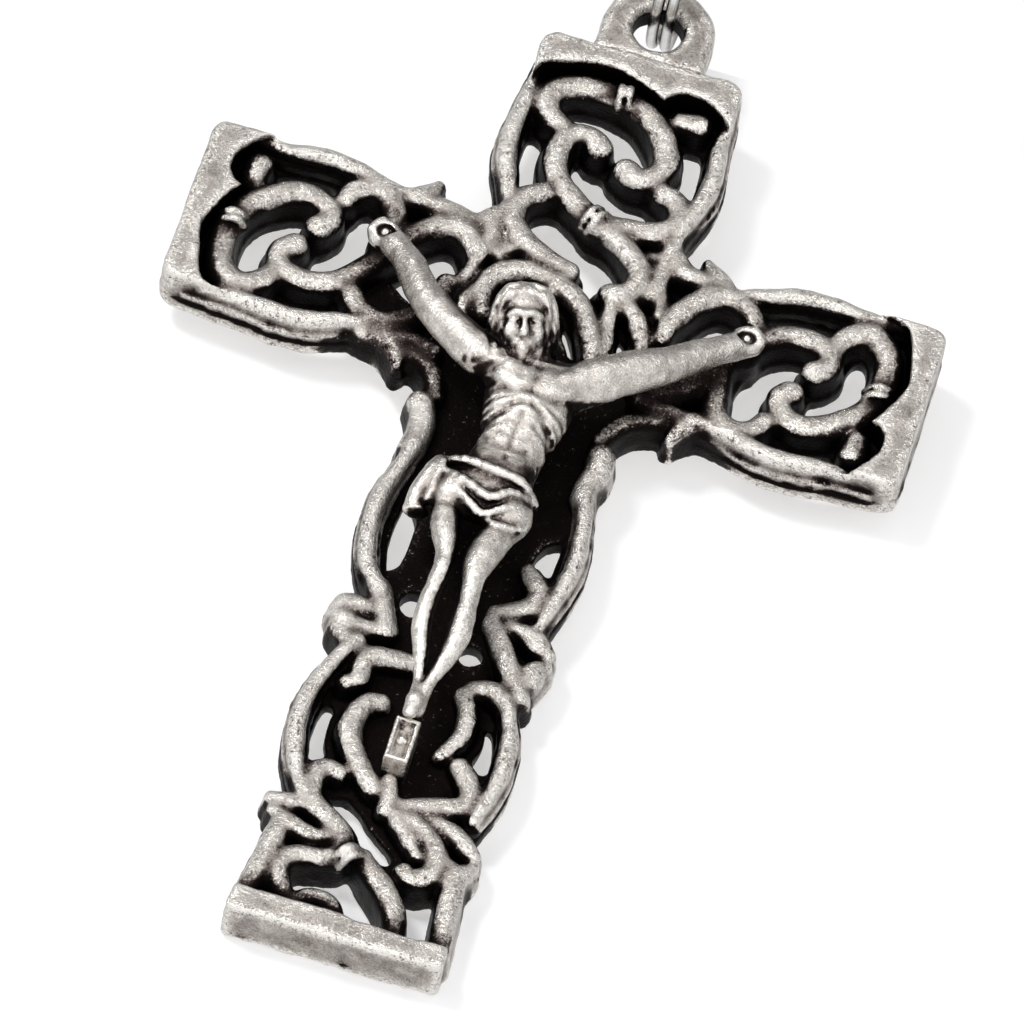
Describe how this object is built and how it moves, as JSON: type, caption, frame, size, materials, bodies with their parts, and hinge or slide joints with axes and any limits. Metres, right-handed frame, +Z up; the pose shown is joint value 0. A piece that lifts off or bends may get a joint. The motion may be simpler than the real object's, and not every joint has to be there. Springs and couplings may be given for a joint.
{
  "type": "crucifix pendant",
  "caption": "Cast openwork scroll crucifix pendant with a riveted figure, footrest, eyelet and a free split ring at the top.",
  "frame": {"origin": "inside top of the split ring, in the middle of its two turns, where the pendant hangs", "axes": "+Z up along the upright, -Y out of the face with the figure, +Y out of the flat back, +X to the viewer's right"},
  "size_m": [0.0348, 0.0079, 0.0604],
  "materials": {
    "antique_pewter": "antiqued pewter casting, black patina in the recesses, worn bright on the scrolls, fine grain on the flats",
    "polished_pewter": "antiqued pewter casting, smoother and brighter than the cross",
    "rivet_metal": "tumbled white metal",
    "ring_wire": "drawn and tumbled steel wire"
  },
  "bodies": {
    "ring": {"split_ring": "ring_wire"},
    "crucifix": {"cross_casting": "antique_pewter", "bail_eyelet": "antique_pewter", "corpus": "polished_pewter", "footrest": "polished_pewter", "left_hand_rivet": "rivet_metal", "right_hand_rivet": "rivet_metal", "footrest_rivet": "rivet_metal"}
  },
  "joints": [
    {"name": "crucifix_swing", "type": "hinge", "parent": "ring", "child": "crucifix", "pos_m": [0, 0, -0.00513], "axis": [1, 0, 0], "range_deg": [-75, 75]}
  ]
}
